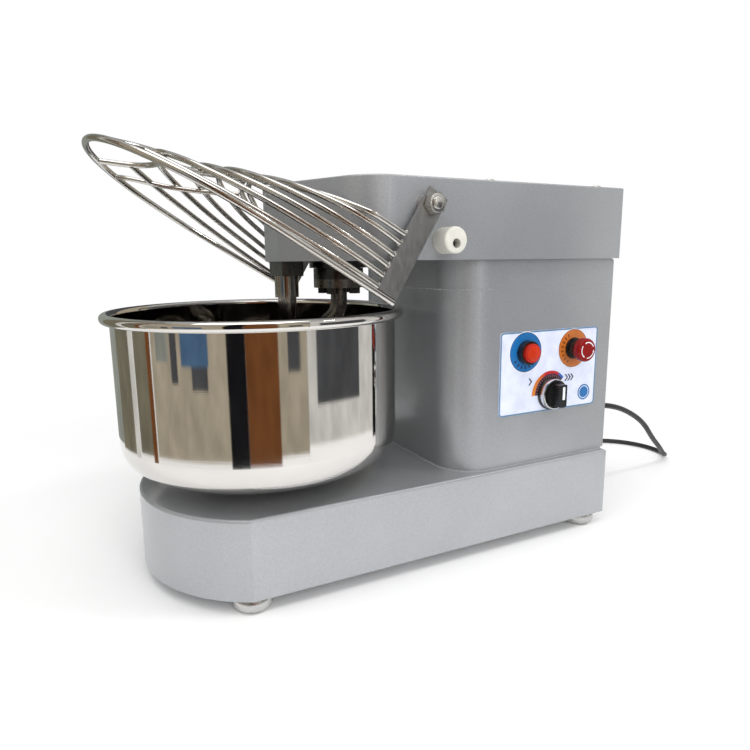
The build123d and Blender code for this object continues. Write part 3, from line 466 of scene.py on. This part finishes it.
print_shape("panel_border", PANEL_X, PANEL_X + FILM, steel_blue_ink, bands=[(
    rounded_box((PANEL_Y[0] + 1.5, PANEL_Y[1] - 1.5), (PANEL_Z[0] + 1.5, PANEL_Z[1] - 1.5), 2.6),
    rounded_box((PANEL_Y[0] + 0.1, PANEL_Y[1] - 0.1), (PANEL_Z[0] + 0.1, PANEL_Z[1] - 0.1), 3.9), True)])
print_shape("power_disc", PANEL_X, DISC_FACE, blue_ink, bands=[ring_band(POWER, 10.6, 19.4)])
print_shape("power_disc_edge", PANEL_X, DISC_FACE, navy_ink, bands=[ring_band(POWER, 19.4, 19.9)])
print_shape("power_disc_line", PANEL_X, DISC_FACE, white_ink, bands=[ring_band(POWER, 19.9, 20.6)])
print_shape("stop_disc", PANEL_X, DISC_FACE, orange_ink, bands=[ring_band(STOP, 10.6, 19.2)])
print_shape("stop_disc_line", PANEL_X, DISC_FACE, brown_ink, bands=[ring_band(STOP, 19.2, 19.8)])
print_shape("stop_disc_white", PANEL_X, DISC_FACE, white_ink, bands=[ring_band(STOP, 19.8, 20.4)])


def dashes(centre, radius, width, start, end, count, depth):
    """Short radial marks round a disc."""
    made = []
    for i in range(count):
        angle = start + (end - start) * i / (count - 1)
        made.append(arc_band(centre, radius, radius + depth, angle - width, angle + width, 4))
    return made


print_shape("power_disc_marks", PANEL_X + FILM, PANEL_X + FILM + 0.05, navy_ink,
            bands=dashes(POWER, 13.9, 3.2, 215, 325, 7, 3.0))
print_shape("stop_disc_marks", PANEL_X + FILM, PANEL_X + FILM + 0.05, brown_ink,
            bands=dashes(STOP, 13.3, 3.2, 118, 242, 8, 3.2))


def speed_ink():
    """The speed scale's colour runs from orange at the slow end through red to blue."""
    s = Shader("ink_speed_scale", (0.5, 0.1, 0.1), roughness=0.32, coat=0.2)
    split = s.add("ShaderNodeSeparateXYZ")
    s.link(s.place, split.inputs["Vector"])
    along = s.spread(split.outputs["Y"], 0, 1, (SPEED[0] - 23) * MM, (SPEED[0] + 23) * MM)
    s.tint(along, [(0.0, (0.62, 0.20, 0.03)), (0.22, (0.60, 0.12, 0.02)), (0.34, (0.50, 0.012, 0.015)),
                   (0.70, (0.48, 0.010, 0.020)), (0.74, (0.015, 0.12, 0.48))])
    s.bump(s.noise(900, 2), 0.00001, 0.4)
    return s.material


scale_start, scale_end, scale_count = 42, 182, 56
inner_arc = circle(*SPEED, 20.2, scale_count, scale_start, scale_end)
outer_arc = []
for i in range(scale_count):
    share = i / (scale_count - 1)
    angle = math.radians(scale_start + (scale_end - scale_start) * share)
    reach = 22.6 + 2.0 * share
    outer_arc.append((SPEED[0] + reach * math.cos(angle), SPEED[1] + reach * math.sin(angle)))
print_shape("speed_scale", PANEL_X, PANEL_X + FILM, speed_ink(), bands=[(inner_arc, outer_arc, False)])
print_shape("speed_scale_track", PANEL_X, PANEL_X + FILM, navy_ink,
            bands=[arc_band(SPEED, 15.3, 20.2, 42, 182, 56)])
print_shape("speed_scale_ticks", PANEL_X + FILM, PANEL_X + FILM + 0.05, orange_ink,
            bands=dashes(SPEED, 16.9, 0.9, 48, 176, 15, 2.3))
for label, y, bars in (("slow", 138.5, 1), ("fast", 190.2, 3)):
    marks = []
    for k in range(bars):
        tip = y + (k - (bars - 1) / 2) * 3.8 + 2.2
        marks.append([(tip, 169.8), (tip - 3.0, 173.4), (tip - 4.8, 173.4), (tip - 1.8, 169.8),
                      (tip - 4.8, 166.2), (tip - 3.0, 166.2)])
    print_shape("mark_" + label, PANEL_X, PANEL_X + FILM, navy_ink, slabs=marks)
BADGE = (211.6, 151.9)
print_shape("plain_ring_badge", PANEL_X, PANEL_X + FILM, blue_ink, slabs=[circle(*BADGE, 8.4, 56)])
print_shape("plain_ring_badge_line", PANEL_X + FILM, PANEL_X + FILM + 0.05, white_ink,
            bands=[ring_band(BADGE, 6.1, 6.8)])

# ---------------------------------------------------------------- controls
POWER_AXIS = (132.0, 200.3)
STOP_AXIS = (194.0, 200.0)
turned_piece("speed_bezel_chrome", SPEED,
             [(14.55, 111.5), (15.8, 111.5), (15.8, 115.6), (15.2, 117.0), (14.55, 117.3)],
             bezel_chrome, "frame")
turned_piece("speed_base_ring", SPEED,
             [(15.35, 109.2), (16.9, 109.2), (16.9, 111.0), (16.2, 112.0), (15.35, 112.3)],
             black, "frame")
turned_piece("power_cap_lens", POWER_AXIS,
             [(0.01, 119.9), (7.7, 119.9), (7.7, 120.25), (7.4, 120.5), (0.01, 120.5)],
             lens, "power_button")
turned_piece("stop_cap_ring", STOP_AXIS, [(5.2, 128.7), (5.6, 128.7), (5.6, 129.0), (5.2, 129.0)],
             dark_red, "emergency_stop_cap")
turned_piece("power_bezel_rim", POWER_AXIS, [(9.95, 115.3), (11.85, 115.3), (11.6, 116.0), (10.2, 116.2)],
             black, "frame")
pointer = rounded_box((SPEED[0] - 1.5, SPEED[0] + 1.5), (SPEED[1] - 3.5, SPEED[1] + 9.5), 0.5, 4)
knob_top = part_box("speed_knob")[1][0] / MM
print_shape("knob_pointer", knob_top, knob_top + 0.15, white_ink, slabs=[pointer], body="speed_knob")
cap_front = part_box("emergency_stop_cap")[1][0] / MM
ARROW_SWEEP, ARROW_TIP = 82, 96    # degrees from an arrow's tail to its head's back and tip
arrows, heads = [], []
for tail in (25, 145, 265):
    arrows.append(arc_band(STOP_AXIS, 7.5, 8.5, tail, tail + ARROW_SWEEP, 20))
    tip, back = math.radians(tail + ARROW_TIP), math.radians(tail + ARROW_SWEEP)
    heads.append([(STOP_AXIS[0] + r * math.cos(a), STOP_AXIS[1] + r * math.sin(a))
                  for r, a in ((8.0, tip), (6.9, back), (8.9, back))])
print_shape("stop_cap_arrows", cap_front, cap_front + 0.1, white_ink, bands=arrows, slabs=heads,
            body="emergency_stop_cap")

# ---------------------------------------------------------------- guard: welds, nuts, bumper screws
GUARD_LIFT = math.radians(31.4)
PIVOT_Y, PIVOT_Z = 11.0, 337.0
PIVOT_ALONG, PIVOT_UP = 9.0, 88.6
PLATE_INNER_X, PLATE_SHEET = 122.5, 4.0


def on_guard(x, along, up):
    """Place (mm) on the lifted guard: along it from the plates' foot, up from the ring's plane."""
    a, u = along - PIVOT_ALONG, up - PIVOT_UP
    return Vector((x, PIVOT_Y - a * math.cos(GUARD_LIFT) + u * math.sin(GUARD_LIFT),
                   PIVOT_Z + a * math.sin(GUARD_LIFT) + u * math.cos(GUARD_LIFT)))


def add_blob(mesh, centre, radius, squash, draw):
    """Small uneven bead of weld (mm)."""
    made = bmesh.ops.create_icosphere(mesh, subdivisions=2, radius=radius * MM)["verts"]
    for vert in made:
        vert.co *= 1 + draw.uniform(-0.09, 0.09)
        vert.co = Vector([part * k for part, k in zip(vert.co, squash)]) + centre * MM


WIRE_ENDS_UP = (4.6, 14.7, 23.8, 33.9, 45.0, 53.7)
PLATE_FRONT_EDGE = 18.0
draw = random.Random(7)
for side, name in ((1, "right"), (-1, "left")):
    mesh = bmesh.new()
    for height in WIRE_ENDS_UP:
        for k in range(4):
            place = on_guard(side * (PLATE_INNER_X + PLATE_SHEET / 2 + draw.uniform(-1.6, 1.6)),
                             PLATE_FRONT_EDGE + draw.uniform(-0.2, 0.9), height + (k - 1.5) * 1.5)
            add_blob(mesh, place, draw.uniform(1.4, 1.9), (0.9, 0.85, 1.0), draw)
    for k in range(5):
        place = on_guard(side * (PLATE_INNER_X + draw.uniform(0, 2.0)), 2.0 + 3.6 * k, 2.4)
        add_blob(mesh, place, 1.5, (0.9, 1.2, 0.8), draw)
    solid("guard_welds_" + name, mesh, weld, "guard")

mesh = bmesh.new()
for x, along, height in ((55, 239.8, 0), (-55, 239.8, 0), (81, 220.9, 0), (-81, 220.9, 0)):
    for k in range(3):
        add_blob(mesh, on_guard(x + draw.uniform(-1.5, 1.5), along + draw.uniform(-1.5, 1.0), height + 1.2),
                 1.6, (1.1, 1, 0.9), draw)
solid("guard_ring_welds", mesh, weld, "guard")


GUARD_SIDES = 48
BOLT_END, NUT_TOP = 5.0, 7.3      # radii of the bolt's end and of the nut's flat face
HEAD_HALF_WIDTH = 114.6
BUMPER_HOLE = (30.0, 304.5)
BUMPER_SCREW_TOP = 12.0
NUT_GAP, NUT_HEIGHT = 0.4, 7.0
NUT_OUTER_X = PLATE_INNER_X + PLATE_SHEET + NUT_GAP + NUT_HEIGHT
for side, name in ((1, "right"), (-1, "left")):
    face = side * NUT_OUTER_X
    outline = [(0.01, face), (BOLT_END, face), (BOLT_END, face + side * 0.7), (4.6, face + side * 0.8),
               (BOLT_END, face + side * 1.1), (4.6, face + side * 1.5), (4.9, face + side * 1.9),
               (4.2, face + side * 2.4), (0.01, face + side * 2.6)]
    turned_piece("pivot_bolt_end_" + name, (PIVOT_Y, PIVOT_Z), outline, bolt_steel, "frame",
                 GUARD_SIDES)
    cone = [(5.1, face), (7.7, face), (NUT_TOP, face + side * 0.3), (5.1, face + side * 0.3)]
    turned_piece("pivot_nut_face_" + name, (PIVOT_Y, PIVOT_Z), cone, bolt_steel, "frame",
                 GUARD_SIDES)
    seat = side * (HEAD_HALF_WIDTH + BUMPER_SCREW_TOP)
    head = [(1.9, seat - side * 0.1), (3.9, seat - side * 0.1),
            (3.5, seat + side * 0.6), (2.0, seat + side * 0.6)]
    turned_piece("bumper_screw_" + name, BUMPER_HOLE, head, dark_iron, "frame", GUARD_SIDES)

# ---------------------------------------------------------------- beads round the column's neck and foot
COLUMN_X, COLUMN_FRONT_Y, CORNER = 108.2, 51.3, 38.2


def column_line(height, rear_y):
    """Line round the column's front (mm), from its left side to its right side."""
    corner_x, corner_y = COLUMN_X - CORNER, COLUMN_FRONT_Y + CORNER
    line = [(-COLUMN_X, rear_y, height)] if rear_y > corner_y else []
    for side, first in ((-1, 180), (1, 270)):
        for i in range(25):
            angle = math.radians(first + 90 * i / 24)
            line.append((side * corner_x + CORNER * math.cos(angle),
                         corner_y + CORNER * math.sin(angle), height))
        if side < 0:
            line += [(x, COLUMN_FRONT_Y, height) for x in range(-60, 66, 10)]
    return line + ([(COLUMN_X, rear_y, height)] if rear_y > corner_y else [])


def bead(name, line, low, high, gaps):
    """Uneven painted weld along a line (mm), left out here and there; its lighter coating is a painted
    highlight.
    """
    mesh = bmesh.new()
    for start, end in zip(line, line[1:]):
        a, b = Vector(start), Vector(end)
        count = max(1, round((b - a).length / 1.6))
        for k in range(count):
            place = a.lerp(b, k / count) + Vector((0, 0, draw.uniform(-0.35, 0.35)))
            if draw.random() > gaps:
                add_blob(mesh, place, draw.uniform(low, high), (1, 0.8, 0.8), draw)
    solid(name, mesh, bead_paint_highlight, "frame")


NECK_Z, FOOT_Z, COLUMN_REAR_Y = 263.0, 85.0, 241.0
bead("neck_bead", column_line(NECK_Z, 0), 0.45, 0.85, 0.2)
bead("foot_bead", column_line(FOOT_Z, COLUMN_REAR_Y), 0.8, 1.05, 0.0)

# ---------------------------------------------------------------- white studio
mesh = bmesh.new()
bmesh.ops.create_grid(mesh, x_segments=1, y_segments=1, size=14)
floor_data = bpy.data.meshes.new("studio_floor")
mesh.to_mesh(floor_data)
mesh.free()
floor = bpy.data.objects.new("studio_floor", floor_data)
FLOOR_DROP = 0.0002                # keeps the floor clear of the feet
floor.location = (0, 0, -FLOOR_DROP)
bpy.context.collection.objects.link(floor)
floor_look = Shader("studio_white", (0.96, 0.96, 0.96), roughness=0.9)
floor_look.rough(floor_look.noise(3), 0.85, 0.95)
tree = floor_look.tree
distance = floor_look.add("ShaderNodeVectorMath", operation="LENGTH")
floor_look.link(floor_look.place, distance.inputs[0])
fade = floor_look.spread(distance.outputs["Value"], 0, 1, 0.42, 0.80)
white = floor_look.add("ShaderNodeEmission")
blend = floor_look.add("ShaderNodeMixShader")
floor_look.link(fade, blend.inputs["Fac"])
floor_look.link(floor_look.shader.outputs[0], blend.inputs[1])
floor_look.link(white.outputs[0], blend.inputs[2])
floor_look.link(blend.outputs[0], tree.nodes["Material Output"].inputs["Surface"])
floor_data.materials.append(floor_look.material)


def area_light(name, place, target, width, height, power):
    data = bpy.data.lights.new(name, "AREA")
    data.shape = "RECTANGLE"
    data.size = width
    data.size_y = height
    data.energy = power
    light = bpy.data.objects.new(name, data)
    light.location = place
    light.rotation_euler = (Vector(target) - Vector(place)).to_track_quat("-Z", "Y").to_euler()
    bpy.context.collection.objects.link(light)
    return light


area_light("overhead", (0.5, -0.5, 2.4), (0, 0, 0.2), 2.0, 2.0, 26)
area_light("front_left", (-1.0, -2.3, 1.3), (0, -0.1, 0.2), 1.2, 1.2, 2)
area_light("right_side", (2.3, -0.05, 1.1), (0, 0.1, 0.2), 1.2, 1.6, 22)
area_light("edge_shine", (0.9, 1.25, 2.0), (0.1, 0.1, 0.15), 0.4, 0.4, 9)


MOTTLE = 0.25


def glow(name, color):
    """Card seen only in the polished metal: one colour with soft blotches."""
    material = bpy.data.materials.new(name)
    material.use_nodes = True
    tree = material.node_tree
    tree.nodes.clear()
    place = tree.nodes.new("ShaderNodeTexCoord")
    noise = tree.nodes.new("ShaderNodeTexNoise")
    noise.inputs["Scale"].default_value = 14
    noise.inputs["Detail"].default_value = 4
    tree.links.new(place.outputs["Object"], noise.inputs["Vector"])
    band = tree.nodes.new("ShaderNodeValToRGB")
    band.color_ramp.elements[0].position = 0.35
    band.color_ramp.elements[0].color = (*shade(color, 1 - MOTTLE), 1)
    band.color_ramp.elements[1].position = 0.65
    band.color_ramp.elements[1].color = (*color, 1)
    tree.links.new(noise.outputs["Fac"], band.inputs["Fac"])
    light = tree.nodes.new("ShaderNodeEmission")
    tree.links.new(band.outputs["Color"], light.inputs["Color"])
    out = tree.nodes.new("ShaderNodeOutputMaterial")
    tree.links.new(light.outputs[0], out.inputs["Surface"])
    return material


BOWL_AXIS = (0.0, -0.106)
PALE, BEIGE, OLIVE = (0.78, 0.77, 0.74), (0.50, 0.44, 0.34), (0.22, 0.20, 0.145)
BROWN, BLACK, GREY = (0.20, 0.075, 0.025), (0.010, 0.010, 0.012), (0.085, 0.088, 0.095)
BLUE_GREY, GREEN_GREY = (0.09, 0.17, 0.30), (0.34, 0.36, 0.32)
# each card: bearing from, to (degrees about the bowl), distance, bottom, top, colour
CARDS = [
    (-172, -140, 0.54, 0.0, 0.90, GREEN_GREY), (-140, -118, 0.52, 0.0, 0.90, OLIVE),
    (-118, -112, 0.51, 0.0, 0.90, PALE), (-112, -97, 0.54, 0.0, 0.90, OLIVE),
    (-97, -93, 0.50, 0.0, 0.90, BROWN), (-93, -37, 0.54, 0.0, 0.90, BEIGE),
    (-88, -78, 0.50, 0.155, 0.28, GREEN_GREY), (-76, -71, 0.50, 0.125, 0.28, GREY),
    (-68, -49, 0.50, 0.150, 0.30, BLUE_GREY), (-61, -50, 0.51, 0.115, 0.16, GREY),
    (-37, -25, 0.51, 0.0, 0.90, BLACK), (-25, -4, 0.52, 0.0, 0.90, BROWN), (-4, 14, 0.56, 0.0, 0.90, BEIGE),
    (2, 10, 0.50, 0.14, 0.30, GREY), (14, 17, 0.50, 0.0, 0.90, BLACK), (17, 64, 0.60, 0.0, 0.90, PALE),
    (22, 58, 0.52, 0.085, 0.40, GREY), (64, 92, 0.60, 0.0, 0.90, PALE), (74, 78, 0.56, 0.0, 0.7, BLACK),
    (92, 150, 0.75, 0.0, 0.90, BEIGE), (150, 188, 0.75, 0.0, 0.90, GREY),
]
card_looks = {}
for number, (start, end, distance, bottom, top, color) in enumerate(CARDS):
    mesh = bmesh.new()
    steps = max(2, int((end - start) / 4))
    rows = []
    for i in range(steps + 1):
        angle = math.radians(start + (end - start) * i / steps)
        x = BOWL_AXIS[0] + distance * math.cos(angle)
        y = BOWL_AXIS[1] + distance * math.sin(angle)
        rows.append([mesh.verts.new((x, y, z)) for z in (bottom, top)])
    for (a, b), (c, d) in zip(rows, rows[1:]):
        mesh.faces.new((a, c, d, b))
    card_data = bpy.data.meshes.new(f"card_{number}")
    mesh.to_mesh(card_data)
    mesh.free()
    if color not in card_looks:
        card_looks[color] = glow(f"card_colour_{len(card_looks)}", color)
    card_data.materials.append(card_looks[color])
    card = bpy.data.objects.new(f"card_{number}", card_data)
    bpy.context.collection.objects.link(card)
    card.visible_camera = False
    card.visible_diffuse = False
    card.visible_shadow = False
    card.visible_transmission = False


def room_light():
    """Plain white surroundings; polished steel sees them a little darker than the backdrop."""
    world = bpy.data.worlds.new("studio")
    bpy.context.scene.world = world
    world.use_nodes = True
    tree = world.node_tree
    tree.nodes.clear()
    path = tree.nodes.new("ShaderNodeLightPath")

    def flat(level):
        node = tree.nodes.new("ShaderNodeBackground")
        node.inputs["Color"].default_value = (1, 1, 1, 1)
        node.inputs["Strength"].default_value = level
        return node.outputs[0]

    def choose(ray, other, chosen):
        node = tree.nodes.new("ShaderNodeMixShader")
        tree.links.new(path.outputs[ray], node.inputs["Fac"])
        tree.links.new(other, node.inputs[1])
        tree.links.new(chosen, node.inputs[2])
        return node.outputs[0]

    lit = choose("Is Glossy Ray", flat(0.62), flat(0.50))
    out = tree.nodes.new("ShaderNodeOutputWorld")
    tree.links.new(choose("Is Camera Ray", lit, flat(1.0)), out.inputs["Surface"])


bpy.context.view_layer.update()
room_light()
